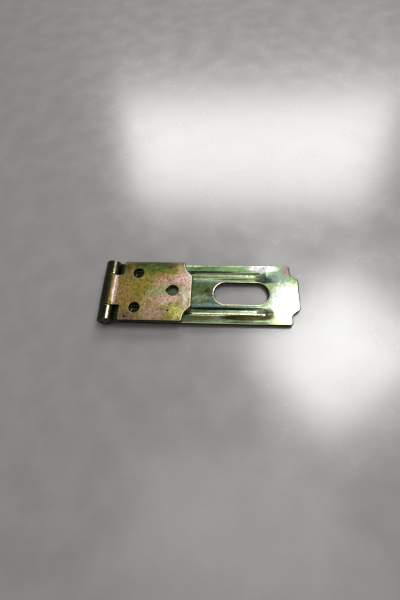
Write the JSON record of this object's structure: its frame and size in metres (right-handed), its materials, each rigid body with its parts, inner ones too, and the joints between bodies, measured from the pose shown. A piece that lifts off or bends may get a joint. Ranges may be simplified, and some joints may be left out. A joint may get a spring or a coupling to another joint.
{
  "type": "safety hasp",
  "caption": "Pressed-steel safety hasp folded shut: short drilled fixing leaf hinged on a pin to a long ribbed strap with a staple slot and a stepped end.",
  "frame": {"origin": "on the fixing leaf's mounting face, midway between the two screw holes beside the hinge", "axes": "+X towards the strap's free end, +Y along the hinge pin, +Z out of the mounting face; stored folded shut with the mounting face up"},
  "size_m": [0.1102, 0.0364, 0.0092],
  "materials": {
    "leaf_plating": "zinc plated with yellow iridescent chromate, satin",
    "strap_plating": "zinc plated with yellow-green iridescent chromate, semi-bright",
    "pin_plating": "zinc plated, satin"
  },
  "bodies": {
    "leaf": {"fixing_leaf": "leaf_plating"},
    "strap": {"hasp_strap": "strap_plating", "hinge_pin": "pin_plating"}
  },
  "joints": [
    {"name": "strap_hinge", "type": "hinge", "parent": "leaf", "child": "strap", "pos_m": [-0.0159, 0, -0.0033], "axis": [0, 1, 0], "range_deg": [0, 315]}
  ]
}
